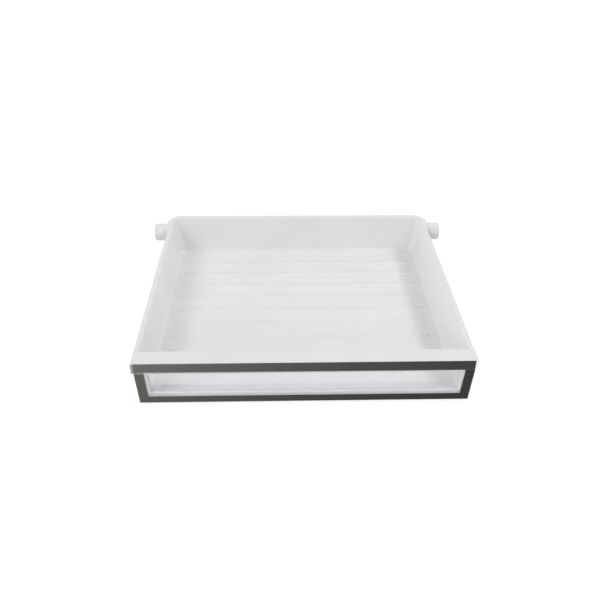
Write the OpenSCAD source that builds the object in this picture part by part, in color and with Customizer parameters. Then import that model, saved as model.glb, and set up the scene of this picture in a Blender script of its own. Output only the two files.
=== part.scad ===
// Slim pull-out freezer bin: a moulded tray with a clear front window, dark front trims,
// a white top rail and a roller at each rear corner.
// Front faces -Y, +X is right, the flat underside lies on z = 0.

/* [Tray] */
// Width over the side rims
tray_w = 400; // [300:1:520]
// Depth from the front face to the rear rim edge
tray_d = 374; // [280:1:460]
// Height of the rim above the underside
tray_h = 57; // [50:0.5:90]
// Thickness of the side and rear walls
wall_t = 2.5; // [1.8:0.1:3.5]
// Thickness of the floor between its ribs
floor_t = 2.5; // [2:0.1:3.5]
// Lean of each side wall, from the floor up to the rim
side_lean = 6; // [3:0.5:9]
// Lean of the rear wall, from the floor up to the rim
rear_lean = 8; // [3:0.5:12]
// Inner radius where the walls meet the floor
foot_r = 5; // [3:0.5:8]
// Inner radius of the rear corners
corner_r = 10; // [7:0.5:14]

/* [Rim] */
// Width of the side rims, outer edge to inner wall
side_rim_w = 6; // [5:0.5:9]
// Width of the rear rim, outer edge to inner wall
rear_rim_w = 11; // [7:0.5:14]
// Thickness of the rim flange
rim_t = 2.2; // [1.6:0.1:3]
// Height of the turned-down lip, rim top to lip bottom
lip_h = 6.5; // [4:0.5:8]
// Thickness of the turned-down lip
lip_t = 1.8; // [1.4:0.1:2.4]
// Outer radius of the rim's rear corners
rim_r = 15; // [8:0.5:18]

/* [Floor ribs] */
// Distance between ribs
rib_pitch = 32; // [24:1:48]
// Width of a rib where it leaves the floor
rib_w = 9; // [6:0.5:12]
// Height of a rib above the floor
rib_h = 1.8; // [1:0.1:2.2]
// Depth of the hollow under each rib
rib_hollow = 1.1; // [0.6:0.1:1.4]
// Foot of a rib to the edge of the hollow under it
rib_side = 0.8; // [0.4:0.1:1.6]
// Bare floor between the foot of a side wall and the rib ends
rib_end_gap = 14; // [8:1:40]
// Front face to the first rib
rib_first = 30; // [24:1:44]

/* [Front wall] */
// Thickness of the tray's front wall behind the dark strip, pane groove included
front_t = 3.5; // [3:0.1:5]
// Front face of the trim to the pane's front face
front_set = 4.1; // [3.6:0.1:6]
// Height of the window opening's sill
sill_h = 12.5; // [10:0.5:18]
// White border that shows inside the dark bars
border_w = 3; // [2:0.5:6]
// Drop of the opening's upper edge below the side bars' top ends
head_drop = 1.5; // [0:0.1:4]
// Radius of the opening's corners
opening_r = 3; // [1:0.5:6]
// Thickness of the window pane
pane_t = 1.8; // [1.2:0.1:2.2]
// How far the pane laps over the opening's edge
pane_lap = 4; // [2:0.5:5]

/* [Lower trim] */
// Set in of the side bars' top ends from the rim's outer edge
bar_set = 2.4; // [1.5:0.1:4]
// Width of a side bar at its top
side_bar_w = 12; // [8:0.5:16]
// Height of the bottom bar
bottom_bar_h = 9.7; // [7:0.1:12]
// Lean of the side bars, bottom to top
bar_lean = 2.6; // [0:0.1:4]
// Wall thickness of the trim
trim_t = 1.5; // [1.2:0.1:2]
// Depth of the trim's outer skirt
skirt_d = 11; // [9.5:0.5:16]
// Bevel of the trim's outer edges
trim_bevel = 1.2; // [0.6:0.1:1.8]
// Bevel of the edges round the trim's opening
edge_bevel = 0.8; // [0.2:0.1:1.4]
// Height above the underside where the trim's lugs start
lug_z = 14; // [10:0.5:20]
// Height of a lug
lug_h = 14; // [8:0.5:18]

/* [Top rail] */
// Depth of the top rail, front to back
rail_d = 25; // [17:0.5:30]
// Height of the top rail's front and ends
rail_h = 13.2; // [11:0.1:16]
// How far the rail stands above the rim
rail_proud = 0.8; // [0:0.1:2]
// Thickness of the rail's shell
rail_t = 2; // [1.5:0.1:2.6]
// Thickness of the rail's ends beside the dark strip
rail_end_t = 3; // [2:0.1:3.4]
// Radius of the rail's upper front and rear edges
rail_edge_r = 0.8; // [0.4:0.1:1.4]
// Height of the skirt at the back of the rail
rail_back_h = 8; // [5:0.5:12]
// Thickness of the dark strip
strip_t = 1.2; // [0.8:0.1:1.6]
// Set back of the dark strip from the side bars' face
strip_set = 0.8; // [0.4:0.1:1.2]
// Bevel along the dark strip's long edges
strip_bevel = 0.5; // [0.2:0.1:0.8]
// Thickness of a snap catch's leaf and of its tooth
catch_t = 2; // [1.4:0.1:2.6]
// Reach of a catch's tooth into the front wall
catch_reach = 1.7; // [1:0.1:2.4]
// Lift of the catch's lower end above the rail's front edge
catch_lift = 2; // [1:0.1:4]
// Number of snap catches
catch_n = 4; // [2:1:5]
// Width of a snap catch on the rail
catch_w = 14; // [8:1:20]
// Centre to centre distance of the snap catches
catch_pitch = 92; // [60:1:95]

/* [Rollers] */
// Diameter of a roller
roller_d = 26.5; // [20:0.5:30]
// Width of a roller
roller_w = 19.5; // [12:0.1:24]
// Radius of the roller's outer edge
roller_edge_r = 3; // [1:0.5:4]
// Drop of the roller axis below the top of the rim
roller_drop = 14.2; // [12:0.1:20]
// Roller axis to the rear rim edge
roller_back = 27; // [20:0.5:60]
// Diameter of the pin's shank
pin_d = 6; // [5:0.5:8]
// Diameter of the pin's head
pin_head_d = 11; // [9:0.5:13]
// Thickness of the pin's head
pin_head_t = 1.8; // [1.2:0.1:2.4]
// Diameter of the boss that holds the pin
boss_d = 23; // [14:0.5:24]
// How far the boss stands out past the rim
boss_out = 2.5; // [2:0.5:10]
// Thickness of the webs under a boss
web_t = 3; // [2:0.1:4]
// Height above the underside where a web leaves the wall
web_z = 14; // [8:0.5:24]
// Depth of the pin's head below the roller's outer face
head_sink = 1; // [0:0.1:3]
// Room round the pin's head in the roller's recess
head_room = 1.5; // [0.5:0.1:3]
// Wall of the roller's hub beside its inner groove
hub_t = 2.5; // [1.5:0.1:4]
// Thickness of the roller's tread beside its inner groove
tread_t = 2.5; // [1.5:0.1:4]
// Depth of the groove in the roller's inner face
groove_d = 12; // [4:0.5:16]

/* [Hidden] */

// Clearances
pane_gap = 0.2;
part_gap = 0.3;
run_gap = 0.05;
// Overlap that joins the forms of one moulding, and overshoot of a cut
fuse = 0.25;
over = 1;

hw = tray_w / 2;
y_front = -tray_d / 2;
y_rear = tray_d / 2;
hull_fn = 32;
slab = 0.01;

// Front stack, counted back from the front face
wall_y0 = y_front + front_set;
wall_y1 = wall_y0 + front_t;
rail_y1 = y_front + rail_d;
rail_top = tray_h + rail_proud;
rail_under = rail_top - rail_t;
rail_low = rail_top - rail_h;
front_top = rail_under;
// The side bars end just under the rail
bar_top = rail_low - part_gap;

// Inner faces of the walls at the rim and at the floor
in_top_x = hw - side_rim_w;
in_top_y = y_rear - rear_rim_w;
in_low_x = in_top_x - side_lean;
in_low_y = in_top_y - rear_lean;
in_rise = tray_h - floor_t;
skirt_y1 = y_front + skirt_d;
foot_lift = trim_t + part_gap;

// Half width of the lower trim's outline at height z
bar_out_top = hw - bar_set;
bar_slope = bar_lean / bar_top;
function bar_out(z) = bar_out_top - bar_lean + bar_slope * z;
function bar_in(z) = bar_out(z) - side_bar_w;
function open_x(z) = bar_in(z) - border_w;
open_top = bar_top - head_drop;
// Outer face of a side wall at height z
function wall_out(z) = in_low_x + wall_t + side_lean * (z - floor_t) / in_rise;

// Rib positions
rib_last = tray_d - rear_rim_w - rear_lean - foot_r - rib_w;
rib_n = floor((rib_last - rib_first) / rib_pitch);
rib_half = in_low_x - rib_end_gap;

roller_y = y_rear - roller_back;
roller_z = tray_h - roller_drop;
boss_x = hw + boss_out;
roller_x0 = boss_x + part_gap * 2;
roller_x1 = roller_x0 + roller_w;
head_x0 = roller_x1 - pin_head_t - head_sink;
bore_depth = boss_x - in_top_x;

white = [0.93, 0.93, 0.92];
dark = [0.32, 0.32, 0.31];
clear = [0.85, 0.9, 0.93, 0.35];
metal = [0.7, 0.7, 0.72];

// A rounded plate outline: half width x, from y0 to y1, front and rear corner radii
module plan(x, y0, y1, rf, rr) {
    translate([-x, y0 + rf])
        square([2 * x, y1 - y0 - rf - rr]);
    translate([-x + rf, y0])
        square([2 * (x - rf), rf + slab]);
    translate([-x + rr, y1 - rr - slab])
        square([2 * (x - rr), rr + slab]);
    for (s = [-1, 1]) {
        translate([s * (x - rf), y0 + rf])
            circle(r = rf);
        translate([s * (x - rr), y1 - rr])
            circle(r = rr);
    }
}

// One thin level of a drafted hull
module level(z, x, y0, y1, rf, rr) {
    translate([0, 0, z])
        linear_extrude(slab)
            plan(x, y0, y1, rf, rr, $fn = hull_fn);
}

// Drafted block with a rounded foot: grow moves its walls out, drop moves its floor down
module drafted(grow, drop, z_top, front_y) {
    z_floor = floor_t - drop;
    r = foot_r + grow;
    rise_x = side_lean / in_rise;
    rise_y = rear_lean / in_rise;
    hull() {
        for (a = [0 : 15 : 90]) {
            z = z_floor + r * (1 - cos(a));
            pull = r * (1 - sin(a));
            level(z, in_low_x + grow - pull + rise_x * (z - floor_t), front_y,
                  in_low_y + grow - pull + rise_y * (z - floor_t), opening_r, corner_r + grow - pull / 2);
        }
        level(z_top, in_low_x + grow + rise_x * (z_top - floor_t), front_y,
              in_low_y + grow + rise_y * (z_top - floor_t), opening_r, corner_r + grow);
    }
}

// Low rounded mound along X: width w, height h, ends at +-half
module mound(w, h, half) {
    r = (w * w / 4 + h * h) / (2 * h);
    translate([0, 0, h - r]) {
        rotate([0, 90, 0])
            cylinder(r = r, h = 2 * (half - w / 2), center = true, $fn = 96);
        for (s = [-1, 1])
            translate([s * (half - w / 2), 0, 0])
                sphere(r = r, $fn = 96);
    }
}

module at_ribs() {
    for (i = [0 : rib_n])
        translate([0, y_front + rib_first + i * rib_pitch, 0])
            children();
}

// Outline of the tray's front wall, grown by g, between heights z0 and z1
module front_outline(g, z0, z1) {
    polygon([[-bar_out(z0) - g, z0], [bar_out(z0) + g, z0],
             [bar_out(z1) + g, z1], [-bar_out(z1) - g, z1]]);
}

// Stands a front view outline up, from y0 back to y1
module stand(y0, y1) {
    translate([0, y1, 0])
        rotate([90, 0, 0])
            linear_extrude(y1 - y0)
                children();
}

// The window opening, grown by g, with rounded corners
module opening_outline(g) {
    z0 = sill_h - g;
    z1 = open_top + g;
    r = opening_r;
    polygon([[-open_x(z0) - g + r, z0], [open_x(z0) + g - r, z0],
             [open_x(z1) + g - r, z1], [-open_x(z1) - g + r, z1]]);
    polygon([[-open_x(z0) - g, z0 + r], [open_x(z0) + g, z0 + r],
             [open_x(z1) + g, z1 - r], [-open_x(z1) - g, z1 - r]]);
    for (s = [-1, 1]) {
        translate([s * (open_x(z0) + g - r), z0 + r])
            circle(r = r, $fn = 48);
        translate([s * (open_x(z1) + g - r), z1 - r])
            circle(r = r, $fn = 48);
    }
}

// Outline of the pane, grown by g: it reaches up to height z1, so the rail holds it down
module pane_outline(g, z1) {
    x = open_x(open_top + pane_lap) + pane_lap + g;
    opening_outline(pane_lap + g);
    translate([-x, open_top])
        square([2 * x, z1 - open_top]);
}

// Rim flange with its turned-down lip
module rim() {
    y0 = rail_y1 + part_gap;
    translate([0, 0, tray_h - rim_t])
        linear_extrude(rim_t)
            plan(hw, y0, y_rear, slab, rim_r, $fn = 96);
    translate([0, 0, tray_h - lip_h])
        linear_extrude(lip_h)
            difference() {
                plan(hw, y0, y_rear, slab, rim_r, $fn = 96);
                plan(hw - lip_t, y0 - over, y_rear - lip_t, slab, rim_r - lip_t, $fn = 96);
            }
}

// Boss that carries the right roller's pin, with a web down the wall and up to the rim
module boss() {
    x0 = in_low_x + wall_t;
    translate([x0, roller_y, roller_z])
        rotate([0, 90, 0])
            cylinder(d = boss_d, h = boss_x - x0, $fn = 96);
    translate([0, roller_y + web_t / 2, 0])
        rotate([90, 0, 0])
            linear_extrude(web_t)
                polygon([[x0, web_z], [x0 + web_t, web_z],
                         [boss_x - web_t, roller_z - boss_d / 2 + over],
                         [boss_x - web_t, tray_h - rim_t + fuse],
                         [x0, tray_h - rim_t + fuse]]);
}

module snap_places() {
    for (i = [0 : catch_n - 1])
        translate([(i - (catch_n - 1) / 2) * catch_pitch, 0, 0])
            children();
}

module tray() {
    color(white) {
        difference() {
            union() {
                drafted(wall_t, floor_t, tray_h, wall_y1 - over);
                rim();
                stand(wall_y0, wall_y1)
                    front_outline(-trim_t - pane_gap, foot_lift, front_top);
                // lower front wall, the seat of the trim's face
                stand(y_front + trim_t, wall_y1)
                    front_outline(-trim_t - pane_gap, foot_lift, bar_top);
                boss();
                mirror([1, 0, 0])
                    boss();
            }
            difference() {
                drafted(0, 0, tray_h + over, wall_y1);
                // the floor steps up over the lower trim's skirt
                translate([-hw, y_front, 0])
                    cube([tray_w, skirt_d + part_gap + floor_t, foot_lift + floor_t]);
            }
            // room under the top rail
            translate([-hw - over, y_front, front_top])
                cube([tray_w + 2 * over, rail_d + part_gap, tray_h]);
            // room for the lower trim's skirt
            translate([-hw - over, y_front, -over])
                cube([tray_w + 2 * over, skirt_d + part_gap, over + foot_lift]);
            stand(y_front, wall_y1 + over)
                opening_outline(0);
            // groove that the pane slides down into, open at the top
            stand(wall_y0, wall_y0 + pane_t + pane_gap)
                pane_outline(pane_gap, front_top + over);
            // slots for the rail's snap catches
            snap_places()
                translate([-catch_w / 2 - part_gap, wall_y0 - over, rail_low + catch_lift - part_gap])
                    cube([catch_w + 2 * part_gap, front_t + 2 * over, catch_t + 2 * part_gap]);
            // hollows under the ribs
            at_ribs()
                mound(rib_w - 2 * rib_side, rib_hollow, rib_half - rib_side);
            for (s = [-1, 1])
                translate([s * (boss_x + over), roller_y, roller_z])
                    rotate([0, -90 * s, 0])
                        cylinder(d = pin_d, h = bore_depth + over, $fn = 96);
        }
        intersection() {
            at_ribs()
                translate([0, 0, floor_t])
                    mound(rib_w, rib_h, rib_half);
            translate([-hw, y_front, floor_t - fuse])
                cube([tray_w, tray_d, tray_h]);
        }
    }
}

module window() {
    color(clear)
        stand(wall_y0, wall_y0 + pane_t)
            pane_outline(0, front_top - pane_gap);
}

// Bevelled block of the lower trim's outline, grown by g, from y0 back to y1
module bevelled(g, y0, y1, z0, z1) {
    hull() {
        stand(y0, y0 + slab)
            front_outline(g - trim_bevel, z0 + trim_bevel, z1);
        stand(y0 + trim_bevel, y1)
            front_outline(g, z0, z1);
    }
}

// Lugs inside the trim's skirt that catch behind the tray's front wall
module lugs() {
    z1 = lug_z + lug_h;
    reach = bar_out(z1) - trim_t - wall_out(z1) - part_gap;
    stand(wall_y1, skirt_y1)
        difference() {
            front_outline(fuse - trim_t, lug_z, z1);
            front_outline(-trim_t - reach, lug_z - over, z1 + over);
        }
}

module lower_trim() {
    color(dark) {
        difference() {
            bevelled(0, y_front, skirt_y1, 0, bar_top);
            // opening with its bevelled edge
            hull() {
                stand(y_front - slab, y_front)
                    front_outline(edge_bevel - side_bar_w, bottom_bar_h - edge_bevel, bar_top + over);
                stand(y_front + edge_bevel, skirt_y1 + over)
                    front_outline(-side_bar_w, bottom_bar_h, bar_top + over);
            }
            // room for the tray's front wall inside the skirt
            stand(y_front + trim_t, skirt_y1 + over)
                front_outline(-trim_t, trim_t, bar_top + over);
        }
        lugs();
    }
}

// Side section of the top rail
module rail_section() {
    r = rail_edge_r;
    y0 = strip_set + strip_t;
    difference() {
        union() {
            translate([y0, rail_low])
                square([rail_d - y0, rail_h - r]);
            translate([y0, rail_low])
                square([rail_d - y0 - r, rail_h]);
            translate([rail_d - r, rail_top - r])
                circle(r = r, $fn = 48);
        }
        translate([front_set - part_gap, rail_low - over])
            square([rail_d - rail_t - front_set + part_gap, rail_h - rail_t + over]);
        translate([rail_d - rail_t - over, rail_low - over])
            square([rail_t + 2 * over, rail_h - rail_back_h + over]);
    }
}

// Sweeps a side section along X, between half widths
module along(x0, x1) {
    translate([x0, y_front, 0])
        rotate([90, 0, 90])
            linear_extrude(x1 - x0)
                children();
}

module rail_end() {
    r = rail_edge_r;
    along(hw - rail_end_t, hw) {
        translate([strip_set, rail_low])
            square([rail_d - strip_set, rail_h - r]);
        translate([strip_set + r, rail_low])
            square([rail_d - strip_set - 2 * r, rail_h]);
        for (y = [strip_set + r, rail_d - r])
            translate([y, rail_top - r])
                circle(r = r, $fn = 48);
    }
}

// Catch that hooks into a slot of the front wall
module snap() {
    y1 = wall_y1 + part_gap;
    z0 = rail_low + catch_lift;
    translate([-catch_w / 2, y1, z0])
        cube([catch_w, catch_t, rail_under + fuse - z0]);
    translate([-catch_w / 2, y1 - catch_reach, z0])
        cube([catch_w, catch_reach + fuse, catch_t]);
}

module top_cover() {
    // the back skirt stays clear of the side walls
    back_x = in_top_x - 2 * part_gap - side_lean * (rail_back_h / in_rise);
    color(white) {
        difference() {
            along(-hw + rail_end_t - slab, hw - rail_end_t + slab)
                rail_section();
            for (s = [-1, 1])
                translate([s * hw - (s > 0 ? hw - back_x : 0), rail_y1 - rail_t - over, rail_low - over])
                    cube([hw - back_x, rail_t + 2 * over, rail_h - rail_t + over]);
        }
        rail_end();
        mirror([1, 0, 0])
            rail_end();
        snap_places()
            snap();
    }
}

module top_trim() {
    b = strip_bevel;
    y0 = strip_set;
    y1 = strip_set + strip_t;
    z0 = rail_low;
    z1 = rail_top - part_gap;
    x = hw - rail_end_t - part_gap / 2;
    color(dark)
        along(-x, x)
            polygon([[y1, z0], [y1, z1], [y0 + b, z1], [y0, z1 - b], [y0, z0 + b], [y0 + b, z0]]);
}

// Half section of a roller, radius along x and width along y
module roller_section() {
    r = roller_edge_r;
    rad = roller_d / 2;
    bore = pin_d / 2 + run_gap;
    recess = pin_head_t + head_sink;
    groove_x = bore + hub_t;
    difference() {
        union() {
            translate([bore, 0])
                square([rad - bore, roller_w - r]);
            translate([bore, 0])
                square([rad - r - bore, roller_w]);
            translate([rad - r, roller_w - r])
                circle(r = r, $fn = 48);
        }
        translate([0, roller_w - recess])
            square([pin_head_d / 2 + head_room, recess + over]);
        translate([groove_x, -over])
            square([rad - tread_t - groove_x, groove_d + over]);
    }
}

// The right roller; the left one is its mirror image
module roller() {
    translate([roller_x0, roller_y, roller_z])
        rotate([0, 90, 0])
            rotate_extrude($fn = 96)
                roller_section();
}

module pin() {
    translate([boss_x - bore_depth, roller_y, roller_z])
        rotate([0, 90, 0])
            cylinder(d = pin_d, h = head_x0 + part_gap - boss_x + bore_depth, $fn = 96);
    translate([head_x0 + part_gap, roller_y, roller_z])
        rotate([0, 90, 0])
            cylinder(d = pin_head_d, h = pin_head_t, $fn = 96);
}

module roller_right() {
    color(white)
        roller();
}

module roller_left() {
    color(white)
        mirror([1, 0, 0])
            roller();
}

module pin_right() {
    color(metal)
        pin();
}

module pin_left() {
    color(metal)
        mirror([1, 0, 0])
            pin();
}

tray();
window();
lower_trim();
top_cover();
top_trim();
roller_left();
roller_right();
pin_left();
pin_right();
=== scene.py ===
import math
import bmesh
import bpy
from mathutils import Matrix, Vector


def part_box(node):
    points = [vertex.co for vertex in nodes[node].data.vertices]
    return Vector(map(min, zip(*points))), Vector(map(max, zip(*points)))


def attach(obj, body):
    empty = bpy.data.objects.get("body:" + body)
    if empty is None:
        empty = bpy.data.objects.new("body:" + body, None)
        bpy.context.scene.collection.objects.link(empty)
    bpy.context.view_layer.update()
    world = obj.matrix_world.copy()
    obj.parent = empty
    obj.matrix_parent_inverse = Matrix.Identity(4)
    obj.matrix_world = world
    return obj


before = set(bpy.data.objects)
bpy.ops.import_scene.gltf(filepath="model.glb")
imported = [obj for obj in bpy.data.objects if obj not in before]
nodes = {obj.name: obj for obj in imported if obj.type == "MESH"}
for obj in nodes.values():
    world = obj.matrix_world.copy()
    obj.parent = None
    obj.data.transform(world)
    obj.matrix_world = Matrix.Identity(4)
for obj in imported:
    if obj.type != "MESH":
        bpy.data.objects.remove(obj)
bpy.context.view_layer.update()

scene = bpy.context.scene
scene.view_settings.view_transform = "Standard"
print("stage: freezer bin frame loaded,", len(nodes), "nodes")


# Small helpers for node materials

# A socket takes a link from another socket, a colour or a plain number
def feed(tree, socket, value):
    if hasattr(value, "is_linked"):
        tree.links.new(value, socket)
    elif isinstance(value, tuple):
        socket.default_value = (*value, 1)
    else:
        socket.default_value = value


# A new material with one Principled shader, set from a dictionary
def startMaterial(name, settings):
    mat = bpy.data.materials.new(name)
    mat.use_nodes = True
    tree = mat.node_tree
    tree.nodes.clear()
    out = tree.nodes.new("ShaderNodeOutputMaterial")
    shader = tree.nodes.new("ShaderNodeBsdfPrincipled")
    tree.links.new(shader.outputs[0], out.inputs["Surface"])
    for key, value in settings.items():
        shader.inputs[key].default_value = value
    return mat, tree, shader, out


def noiseAt(tree, scale, detail=3.0, roughness=0.55, stretch=(1, 1, 1), offset=(0, 0, 0)):
    coords = tree.nodes.new("ShaderNodeTexCoord")
    mapping = tree.nodes.new("ShaderNodeMapping")
    mapping.inputs["Scale"].default_value = stretch
    mapping.inputs["Location"].default_value = offset
    noise = tree.nodes.new("ShaderNodeTexNoise")
    noise.inputs["Scale"].default_value = scale
    noise.inputs["Detail"].default_value = detail
    noise.inputs["Roughness"].default_value = roughness
    tree.links.new(coords.outputs["Object"], mapping.inputs["Vector"])
    tree.links.new(mapping.outputs["Vector"], noise.inputs["Vector"])
    return noise.outputs["Fac"]


def spread(tree, fac, low, high, fromLow=0.3, fromHigh=0.7):
    remap = tree.nodes.new("ShaderNodeMapRange")
    remap.inputs["From Min"].default_value = fromLow
    remap.inputs["From Max"].default_value = fromHigh
    remap.inputs["To Min"].default_value = low
    remap.inputs["To Max"].default_value = high
    tree.links.new(fac, remap.inputs["Value"])
    return remap.outputs["Result"]


def blendColors(tree, fac, first, second, blendType="MIX"):
    mix = tree.nodes.new("ShaderNodeMix")
    mix.data_type = "RGBA"
    mix.blend_type = blendType
    sockets = [s for s in mix.inputs if s.type == "RGBA"]
    feed(tree, sockets[0], first)
    feed(tree, sockets[1], second)
    feed(tree, mix.inputs["Factor"], fac)
    return [s for s in mix.outputs if s.type == "RGBA"][0]


# A colour times a grey share, which may also be a little over 1
def timesGrey(tree, color, share):
    return blendColors(tree, 1.0, color, share, "MULTIPLY")


def mathStep(tree, operation, first, second):
    step = tree.nodes.new("ShaderNodeMath")
    step.operation = operation
    feed(tree, step.inputs[0], first)
    feed(tree, step.inputs[1], second)
    return step.outputs[0]


# Place on the object along one axis, in metres
def placeAlong(tree, axis):
    coords = tree.nodes.new("ShaderNodeTexCoord")
    split = tree.nodes.new("ShaderNodeSeparateXYZ")
    tree.links.new(coords.outputs["Object"], split.inputs["Vector"])
    return split.outputs[axis]


# Share from 0 to 1 between two places on one axis
def fadeAlong(tree, axis, start, end):
    return spread(tree, placeAlong(tree, axis), 0.0, 1.0, start, end)


# Painted light and shade: a brightness share fades in along one axis, and only inside its gate, if it has
# one
def paintedTone(tree, color, axis, start, end, tone, gate=None):
    share = fadeAlong(tree, axis, start, end)
    if gate:
        share = mathStep(tree, "MULTIPLY", share, fadeAlong(tree, *gate))
    return timesGrey(tree, color, spread(tree, share, 1.0, tone, 0.0, 1.0))


# How rounded edges are drawn: rays for each use, and the turn of the surface that counts as
# a full edge and as none
edgePlan = {"maskRays": 4, "bumpRays": 6, "turn": (0.80, 0.99)}


def roundedNormal(tree, radius, rays):
    soft = tree.nodes.new("ShaderNodeBevel")
    soft.samples = rays
    soft.inputs["Radius"].default_value = radius
    return soft.outputs["Normal"]


# Bright where a rounded copy of the surface turns away from the flat one
def edgeMask(tree, radius, gain):
    plain = tree.nodes.new("ShaderNodeNewGeometry")
    dot = tree.nodes.new("ShaderNodeVectorMath")
    dot.operation = "DOT_PRODUCT"
    tree.links.new(roundedNormal(tree, radius, edgePlan["maskRays"]), dot.inputs[0])
    tree.links.new(plain.outputs["Normal"], dot.inputs[1])
    return spread(tree, dot.outputs["Value"], gain, 0.0, *edgePlan["turn"])


def bumpFrom(tree, height, distance, strength, roundRadius=None):
    bump = tree.nodes.new("ShaderNodeBump")
    bump.inputs["Distance"].default_value = distance
    bump.inputs["Strength"].default_value = strength
    tree.links.new(height, bump.inputs["Height"])
    if roundRadius:
        tree.links.new(roundedNormal(tree, roundRadius, edgePlan["bumpRays"]), bump.inputs["Normal"])
    return bump.outputs["Normal"]


# Edges take a lighter colour over twice the width of the rounding that they sit on
def lighterEdges(tree, color, look):
    mask = edgeMask(tree, look["edgeRound"] * 2, look["edgeLightening"])
    return blendColors(tree, mask, color, look["edgeColor"])


# White moulded plastic: faint flow clouding, spark-eroded grain, slightly lighter edges, and painted light
# and shade from the tones it is given
def mouldedPlastic(name, look, tones=None):
    mat, tree, shader, out = startMaterial(name, {
        "IOR": look["ior"],
        "Specular IOR Level": look["shine"],
    })
    clouds = noiseAt(tree, look["cloudScale"], 4.0)
    specks = noiseAt(tree, look["speckScale"], 2.0, offset=(0.13, 0.07, 0.31))
    body = blendColors(tree, spread(tree, clouds, 0.0, 1.0), look["shade"], look["color"])
    speckMask = spread(tree, specks, 0.0, 1.0, *look["speckRange"])
    speckled = blendColors(tree, speckMask, body, look["speckColor"])
    finish = lighterEdges(tree, speckled, look)
    # each tone paints light or shade into the colour
    for plan in (tones or {}).values():
        finish = paintedTone(tree, finish, *plan)
    tree.links.new(finish, shader.inputs["Base Color"])
    dull = noiseAt(tree, look["cloudScale"] * 3, 3.0, offset=(0.4, 0.2, 0))
    smooth, coarse = look["roughness"]
    tree.links.new(spread(tree, dull, smooth, coarse), shader.inputs["Roughness"])
    grain = noiseAt(tree, look["grainScale"], 2.0)
    bumpy = bumpFrom(tree, grain, look["grainDepth"], look["grainStrength"], look["edgeRound"])
    tree.links.new(bumpy, shader.inputs["Normal"])
    return mat


# Metallic lacquer or turned metal, with flakes and fine brushing along X, and, where the look asks for
# them, a painted highlight line, painted shade from left to right and painted shade towards the floor
def metallicLacquer(name, look):
    mat, tree, shader, out = startMaterial(name, {
        "Metallic": look["metal"],
        "IOR": look["ior"],
        "Coat Weight": look["coat"],
        "Coat Roughness": look["coatRoughness"],
    })
    flakes = noiseAt(tree, look["flakeScale"], 2.0, 0.7)
    brushing = noiseAt(tree, look["brushScale"], 5.0, 0.6, stretch=(look["brushStretch"], 1, 1))
    body = blendColors(tree, spread(tree, brushing, 0.0, 1.0), look["shade"], look["color"])
    flakeMask = spread(tree, flakes, 0.0, 1.0, *look["flakeRange"])
    finish = lighterEdges(tree, blendColors(tree, flakeMask, body, look["flakeColor"]), look)
    # painted highlight: a pale line along one height of the part
    if "paintedHighlightLine" in look:
        finish = blendColors(tree, fadeAlong(tree, "Z", *look["paintedHighlightLine"]), finish, look["highlightLineColor"])
    # painted shade: the colour darkens from the left end to the right end
    if "paintedShadeToRight" in look:
        along = fadeAlong(tree, "X", -look["reach"], look["reach"])
        finish = timesGrey(tree, finish, mathStep(tree, "POWER", look["paintedShadeToRight"], along))
    # painted shade: the colour darkens towards the floor
    if "paintedFootShade" in look:
        finish = paintedTone(tree, finish, "Z", look["paintedFootShadeHeight"], 0.0, look["paintedFootShade"])
    tree.links.new(finish, shader.inputs["Base Color"])
    smooth, coarse = look["roughness"]
    tree.links.new(spread(tree, brushing, smooth, coarse), shader.inputs["Roughness"])
    bumpy = bumpFrom(tree, brushing, look["brushDepth"], look["brushStrength"], look["edgeRound"])
    tree.links.new(bumpy, shader.inputs["Normal"])
    return mat


def dress(nodeName, mat):
    mesh = nodes[nodeName].data
    if not mesh.materials:
        mesh.materials.append(mat)
    for i in range(len(mesh.materials)):
        mesh.materials[i] = mat


# The tray

trayLook = {
    "color": (0.80, 0.80, 0.80),
    "shade": (0.77, 0.77, 0.77),
    "speckColor": (0.74, 0.74, 0.74),
    "speckRange": (0.62, 0.80),
    "edgeColor": (0.84, 0.84, 0.84),
    "edgeLightening": 0.5,
    "edgeRound": 0.0004,
    "ior": 1.49,
    "shine": 0.4,
    "roughness": (0.41, 0.51),
    "cloudScale": 14.0,
    "speckScale": 900.0,
    "grainScale": 2600.0,
    "grainDepth": 0.00003,
    "grainStrength": 0.5,
}
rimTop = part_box("tray")[1][2]
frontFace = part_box("tray")[0][1]
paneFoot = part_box("window")[0][2]

# where some of the painted tones stop, each as axis, place of no effect, place of full effect
rearHalf = ("Y", -0.06, 0.02)
nearFloor = ("Z", 0.030, 0.015)
sill = ("Z", paneFoot + 0.0065, paneFoot + 0.0045)
behindPane = ("Y", frontFace + 0.040, frontFace + 0.025)

# each painted tone as axis, from, to, share of brightness, gate; each one paints light or shade into the
# plastic's colour
trayPaintedLightAndShade = {
    # painted shade: the rim's top a little darker than the floor
    "rim top": ("Z", rimTop - 0.0004, rimTop - 0.0001, 0.955),
    # painted shade on the crests of the ribs in the rear half; the next tone brightens what stands above
    # them back to even
    "rear ribs": ("Z", 0.0028, 0.0034, 0.955, rearHalf),
    "above the rear ribs": ("Z", 0.0045, 0.0060, 1.047, rearHalf),
    # painted light on the left part of the floor, against the shade near the left wall
    "left of the floor": ("X", -0.070, -0.135, 1.045, nearFloor),
    # painted shade along the foot of the left wall
    "left foot": ("X", -0.150, -0.168, 0.957, nearFloor),
    # painted shade at the left foot behind the pane
    "left foot behind the pane": ("X", -0.145, -0.165, 0.92, behindPane),
    # painted light on the floor behind the pane, which lies in the rail's shade
    "floor behind the pane": ("Y", frontFace + 0.0350, frontFace + 0.0130, 1.10),
    # painted shade on the window sill
    "window sill": ("Y", frontFace + 0.0036, frontFace + 0.0026, 0.82, sill),
    # painted shade on the tray's front faces beside and under the trims
    "face under the trims": ("Y", frontFace + 0.0006, frontFace + 0.0002, 0.84),
}
trayMat = mouldedPlastic("binPlastic", trayLook, trayPaintedLightAndShade)
dress("tray", trayMat)
print("stage: tray plastic")

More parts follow.
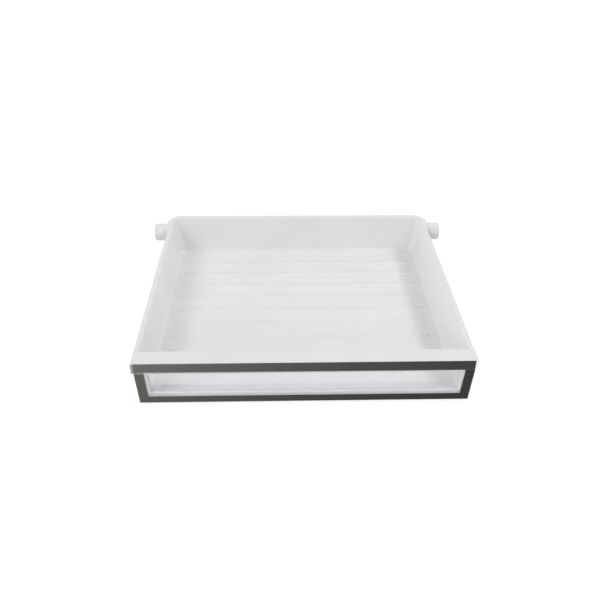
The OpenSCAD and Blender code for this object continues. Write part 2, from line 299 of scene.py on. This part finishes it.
# Ears of the rim over the roller bosses, of the same moulding as the tray

earLook = {
    "reach": 0.0029,  # past the rim
    "sink": 0.0005,  # into the rim's lip
    "rearSink": 0.0024,  # deeper where the rim's corner curves away
    "rootHalf": 0.0180,
    "tipHalf": 0.0135,
    "height": 0.0065,
    "below": 0.00005,  # under the rim's top
    "round": 0.0006,
    "steps": 3,
}


def rimEar(name, side, look):
    rollerLow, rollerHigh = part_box("roller_right")
    centre = (rollerLow[1] + rollerHigh[1]) / 2
    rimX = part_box("top_cover")[1][0]
    top = rimTop - look["below"]
    plan = [
        (rimX - look["sink"], -look["rootHalf"]),
        (rimX + look["reach"], -look["tipHalf"]),
        (rimX + look["reach"], look["tipHalf"]),
        (rimX - look["rearSink"], look["rootHalf"]),
    ]
    build = bmesh.new()
    lower = [build.verts.new((side * x, centre + y, top - look["height"])) for x, y in plan]
    upper = [build.verts.new((side * x, centre + y, top)) for x, y in plan]
    build.faces.new(lower)
    build.faces.new(upper)
    for i in range(len(plan)):
        j = (i + 1) % len(plan)
        build.faces.new((lower[i], lower[j], upper[j], upper[i]))
    bmesh.ops.recalc_face_normals(build, faces=build.faces)
    bmesh.ops.bevel(build, geom=build.edges[:], offset=look["round"], segments=look["steps"],
                    affect="EDGES", profile=0.5)
    mesh = bpy.data.meshes.new(name)
    build.to_mesh(mesh)
    build.free()
    for polygon in mesh.polygons:
        polygon.use_smooth = True
    ear = bpy.data.objects.new(name, mesh)
    scene.collection.objects.link(ear)
    mesh.materials.append(trayMat)
    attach(ear, "bin")


rimEar("rimEarLeft", -1, earLook)
rimEar("rimEarRight", 1, earLook)
print("stage: rim ears")

# The top rail

coverLook = dict(trayLook)
coverLook.update({
    "color": (0.755, 0.752, 0.742),
    "shade": (0.730, 0.728, 0.718),
    "speckColor": (0.71, 0.70, 0.69),
    "roughness": (0.35, 0.45),
    "cloudScale": 22.0,
})
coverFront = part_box("top_cover")[0][1]
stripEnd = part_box("top_trim")[1][0]
frontSkin = (coverFront + 0.0006, coverFront + 0.0002)

# painted light and shade on the rail's ends beside the strip: painted shade on the left one, painted light
# on the right one
coverPaintedLightAndShade = {
    "left end": ("Y", *frontSkin, 0.42, ("X", -stripEnd + 0.0009, -stripEnd + 0.0001)),
    "right end": ("Y", *frontSkin, 1.28, ("X", stripEnd - 0.0009, stripEnd - 0.0001)),
}
dress("top_cover", mouldedPlastic("railPlastic", coverLook, coverPaintedLightAndShade))
print("stage: rail plastic")

# The dark strip and the lower trim

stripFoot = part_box("top_trim")[0][2]
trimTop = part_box("lower_trim")[1][2]
stripLook = {
    "color": (0.130, 0.129, 0.120),
    "shade": (0.114, 0.113, 0.104),
    "reach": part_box("lower_trim")[1][0],
    "paintedShadeToRight": 0.22,  # painted shade: share of brightness at the right end, so the lacquer darkens from left to right
    # painted highlight along the strip's lower edge
    "paintedHighlightLine": (stripFoot + 0.0015, stripFoot + 0.0010),
    "highlightLineColor": (0.50, 0.50, 0.48),
    "flakeColor": (0.17, 0.168, 0.155),
    "flakeRange": (0.58, 0.78),
    "edgeColor": (0.26, 0.26, 0.245),
    "edgeLightening": 0.6,
    "edgeRound": 0.00025,
    "metal": 0.65,
    "ior": 1.5,
    "coat": 0.15,
    "coatRoughness": 0.35,
    "roughness": (0.36, 0.48),
    "flakeScale": 3200.0,
    "brushScale": 420.0,
    "brushStretch": 0.02,
    "brushDepth": 0.00001,
    "brushStrength": 0.4,
}
dress("top_trim", metallicLacquer("stripLacquer", stripLook))

trimLook = dict(stripLook)
trimLook.update({
    "color": (0.088, 0.088, 0.079),
    "shade": (0.077, 0.077, 0.069),
    # painted shade from left to right on the lower trim too
    "paintedShadeToRight": 0.18,
    "edgeRound": 0.0003,
    # painted shade darkening the lower trim towards the floor
    "paintedFootShade": 0.94,
    "paintedFootShadeHeight": 0.009,
    # painted highlight along the lower trim's top edge
    "paintedHighlightLine": (trimTop - 0.0006, trimTop - 0.0003),
    "highlightLineColor": (0.30, 0.30, 0.29),
})
dress("lower_trim", metallicLacquer("trimLacquer", trimLook))
print("stage: dark trims")

# The window

paneLook = {
    "color": (0.96, 0.98, 1.0),
    "shade": (0.91, 0.93, 0.95),
    "veil": 0.235,  # milkiness in the middle; beyond the slight milkiness of the pane itself this is painted light over the view through it
    "endVeil": 0.02,
    "endZone": (0.10, 0.175),  # from the centre, where the veil thins out
    "ior": 1.49,
    "gloss": 2.0,  # both faces' reflections on the outward one
    "roughness": (0.02, 0.08),
    "waveScale": 26.0,
    "waveDepth": 0.00004,
    "waveStrength": 0.3,
    "seat": 0.0044,  # height of the part that sits in the groove
    "seatEdge": 0.0040,
}


# Clear thin sheet, a little milky, more in its middle as painted light, and opaque and pale where it sits
# in the tray's groove and just above, as painted light over the groove's shade
def clearPane(name, look):
    mat, tree, shader, out = startMaterial(name, {"IOR": look["ior"], "Specular IOR Level": 0.0})
    clouds = noiseAt(tree, look["waveScale"] * 3, 4.0, offset=(0.3, 0.1, 0))
    tone = blendColors(tree, spread(tree, clouds, 0.0, 1.0), look["shade"], look["color"])
    tree.links.new(tone, shader.inputs["Base Color"])
    seatTop = paneFoot + look["seat"]
    # painted light: opaque and pale in the groove and just above it, over the groove's shade
    seated = fadeAlong(tree, "Z", seatTop + look["seatEdge"], seatTop)
    outward = mathStep(tree, "ABSOLUTE", placeAlong(tree, "X"), 0.0)
    # painted light: milkier in the middle, clearer towards the ends
    veil = spread(tree, outward, look["veil"], look["endVeil"], *look["endZone"])
    tree.links.new(mathStep(tree, "MAXIMUM", veil, seated), shader.inputs["Alpha"])
    mirror = tree.nodes.new("ShaderNodeBsdfGlossy")
    smears = noiseAt(tree, look["waveScale"] * 2, 4.0, offset=(0.5, 0, 0.2))
    tree.links.new(spread(tree, smears, *look["roughness"]), mirror.inputs["Roughness"])
    waves = noiseAt(tree, look["waveScale"], 1.0)
    bend = bumpFrom(tree, waves, look["waveDepth"], look["waveStrength"])
    tree.links.new(bend, mirror.inputs["Normal"])
    fresnel = tree.nodes.new("ShaderNodeFresnel")
    fresnel.inputs["IOR"].default_value = look["ior"]
    face = tree.nodes.new("ShaderNodeNewGeometry")
    facing = mathStep(tree, "SUBTRACT", 1.0, face.outputs["Backfacing"])
    gleam = mathStep(tree, "MULTIPLY", fresnel.outputs[0], look["gloss"])
    mix = tree.nodes.new("ShaderNodeMixShader")
    tree.links.new(mathStep(tree, "MULTIPLY", gleam, facing), mix.inputs["Fac"])
    tree.links.new(shader.outputs[0], mix.inputs[1])
    tree.links.new(mirror.outputs[0], mix.inputs[2])
    tree.links.new(mix.outputs[0], out.inputs["Surface"])
    return mat


dress("window", clearPane("clearPane", paneLook))
print("stage: window pane")

# Rollers and pins

rollerLook = dict(trayLook)
rollerLook.update({
    "color": (0.76, 0.76, 0.75),
    "shade": (0.72, 0.72, 0.71),
    "speckColor": (0.68, 0.68, 0.66),
    "edgeColor": (0.80, 0.80, 0.79),
    "roughness": (0.29, 0.39),
    "cloudScale": 60.0,
    "edgeRound": 0.0005,
})
rollerMat = mouldedPlastic("rollerPlastic", rollerLook)
dress("roller_left", rollerMat)
dress("roller_right", rollerMat)

pinLook = {
    "color": (0.56, 0.56, 0.57),
    "shade": (0.48, 0.48, 0.49),
    "flakeColor": (0.62, 0.62, 0.63),
    "flakeRange": (0.58, 0.78),
    "edgeColor": (0.72, 0.72, 0.73),
    "edgeLightening": 0.5,
    "edgeRound": 0.0002,
    "metal": 1.0,
    "ior": 1.5,
    "coat": 0.0,
    "coatRoughness": 0.3,
    "roughness": (0.24, 0.36),
    "flakeScale": 2400.0,
    "brushScale": 900.0,
    "brushStretch": 0.02,
    "brushDepth": 0.000006,
    "brushStrength": 0.4,
}
pinMat = metallicLacquer("turnedSteel", pinLook)
dress("pin_left", pinMat)
dress("pin_right", pinMat)
print("stage: rollers and pins")

# Floor, sky and lamps

floorLook = {
    "size": 16.0,
    "drop": 0.0002,  # below the bin's underside
    "color": (0.80, 0.80, 0.80),
    "roughness": 0.9,
    "shine": 0.1,
    "ownPart": 0.42,
    "glow": 0.68,
}


# 1 for what the camera sees straight, in a mirror or through glass, otherwise 0
def seenDirectly(tree):
    path = tree.nodes.new("ShaderNodeLightPath")
    seen = path.outputs["Is Camera Ray"]
    for ray in ("Is Glossy Ray", "Is Transmission Ray"):
        seen = mathStep(tree, "MAXIMUM", seen, path.outputs[ray])
    return seen


def mixSeen(tree, unseen, seen, out):
    mix = tree.nodes.new("ShaderNodeMixShader")
    tree.links.new(seenDirectly(tree), mix.inputs["Fac"])
    tree.links.new(unseen, mix.inputs[1])
    tree.links.new(seen, mix.inputs[2])
    tree.links.new(mix.outputs[0], out.inputs["Surface"])


# Seen straight, the floor is part shaded sheet and part plain white, so the shadow stays faint
def paleFloor(look):
    half = look["size"] / 2
    corners = [(-half, -half, 0), (half, -half, 0), (half, half, 0), (-half, half, 0)]
    mesh = bpy.data.meshes.new("floorSheet")
    mesh.from_pydata(corners, [], [(0, 1, 2, 3)])
    floor = bpy.data.objects.new("floorSheet", mesh)
    floor.location = (0, 0, -look["drop"])
    scene.collection.objects.link(floor)
    mat, tree, shader, out = startMaterial("paleFloor", {
        "Base Color": (*look["color"], 1),
        "Roughness": look["roughness"],
        "Specular IOR Level": look["shine"],
    })
    glow = tree.nodes.new("ShaderNodeEmission")
    glow.inputs["Strength"].default_value = look["glow"]
    sheet = tree.nodes.new("ShaderNodeBsdfDiffuse")
    sheet.inputs["Color"].default_value = (look["ownPart"],) * 3 + (1,)
    both = tree.nodes.new("ShaderNodeAddShader")
    tree.links.new(glow.outputs[0], both.inputs[0])
    tree.links.new(sheet.outputs[0], both.inputs[1])
    mixSeen(tree, shader.outputs[0], both.outputs[0], out)
    mesh.materials.append(mat)


paleFloor(floorLook)

# Light from the sky by where it comes from, as in a room lit from its sides
skyLook = {
    "tint": (0.985, 0.985, 1.0),
    "left": 1.34,
    "right": 0.86,
    "above": 0.28,
    "behind": 0.20,
    "seen": 1.0,
}
skySides = {"left": ("X", -1), "right": ("X", 1), "above": ("Z", 1), "behind": ("Y", 1)}


def paleSky(look):
    world = bpy.data.worlds.new("paleSky")
    scene.world = world
    world.use_nodes = True
    tree = world.node_tree
    tree.nodes.clear()
    out = tree.nodes.new("ShaderNodeOutputWorld")
    coords = tree.nodes.new("ShaderNodeTexCoord")
    split = tree.nodes.new("ShaderNodeSeparateXYZ")
    tree.links.new(coords.outputs["Generated"], split.inputs["Vector"])
    strength = 0.0
    for side, (axis, way) in skySides.items():
        share = spread(tree, split.outputs[axis], 0.0, look[side], 0.0, way)
        strength = mathStep(tree, "ADD", share, strength)
    light = tree.nodes.new("ShaderNodeBackground")
    light.inputs["Color"].default_value = (*look["tint"], 1)
    tree.links.new(strength, light.inputs["Strength"])
    seen = tree.nodes.new("ShaderNodeBackground")
    seen.inputs["Color"].default_value = (1, 1, 1, 1)
    seen.inputs["Strength"].default_value = look["seen"]
    mixSeen(tree, light.outputs[0], seen.outputs[0], out)


paleSky(skyLook)

# Each softbox: bearing from the front (0) to the right (90) and height angle in degrees,
# distance, width and height in metres, power in watts
lampPlan = {
    "softboxRight": {"bearing": 85.0, "climb": 54.0, "distance": 5.0, "size": (0.90, 0.90), "power": 66.0},
    "softboxLeft": {"bearing": -50.0, "climb": 42.0, "distance": 4.0, "size": (0.64, 0.64), "power": 16.0},
    "softboxFront": {"bearing": -8.0, "climb": 20.0, "distance": 2.2, "size": (1.6, 0.6), "power": 8.7},
}
lampTint = (0.96, 0.97, 1.0)
lampAim = Vector((0, 0, 0.03))


def softbox(name, plan, aim, tint):
    bearing = math.radians(plan["bearing"])
    climb = math.radians(plan["climb"])
    ground = plan["distance"] * math.cos(climb)
    height = plan["distance"] * math.sin(climb)
    at = Vector((ground * math.sin(bearing), -ground * math.cos(bearing), height))
    lamp = bpy.data.lights.new(name, "AREA")
    lamp.shape = "RECTANGLE"
    lamp.size, lamp.size_y = plan["size"]
    lamp.energy = plan["power"]
    lamp.color = tint
    box = bpy.data.objects.new(name, lamp)
    box.location = at
    box.rotation_euler = (aim - at).to_track_quat("-Z", "Y").to_euler()
    box.visible_camera = False
    box.visible_transmission = False
    scene.collection.objects.link(box)


for lampName, plan in lampPlan.items():
    softbox(lampName, plan, lampAim, lampTint)
print("stage: floor, sky and lamps")

# The camera: place in metres, angles in degrees, lens and sensor in millimetres

cameraPlan = {
    "at": (-0.02934, -0.79100, 0.55024),
    "yaw": 2.068,
    "pitch": 33.832,
    "roll": 0.717,
    "lens": 40.8,
    "sensor": 36.0,
    "nearest": 0.01,
}


def photoCamera(plan):
    yaw, pitch, roll = (math.radians(plan[k]) for k in ("yaw", "pitch", "roll"))
    forward = Vector((math.sin(yaw) * math.cos(pitch), math.cos(yaw) * math.cos(pitch), -math.sin(pitch)))
    right = Vector((math.cos(yaw), -math.sin(yaw), 0))
    up = right.cross(forward)
    rightTilted = right * math.cos(roll) + up * math.sin(roll)
    upTilted = up * math.cos(roll) - right * math.sin(roll)
    data = bpy.data.cameras.new("photoCamera")
    data.lens = plan["lens"]
    data.sensor_width = plan["sensor"]
    data.clip_start = plan["nearest"]
    camera = bpy.data.objects.new("photoCamera", data)
    camera.matrix_world = Matrix((
        (rightTilted.x, upTilted.x, -forward.x, plan["at"][0]),
        (rightTilted.y, upTilted.y, -forward.y, plan["at"][1]),
        (rightTilted.z, upTilted.z, -forward.z, plan["at"][2]),
        (0, 0, 0, 1),
    ))
    scene.collection.objects.link(camera)
    scene.camera = camera


photoCamera(cameraPlan)
print("stage: camera")
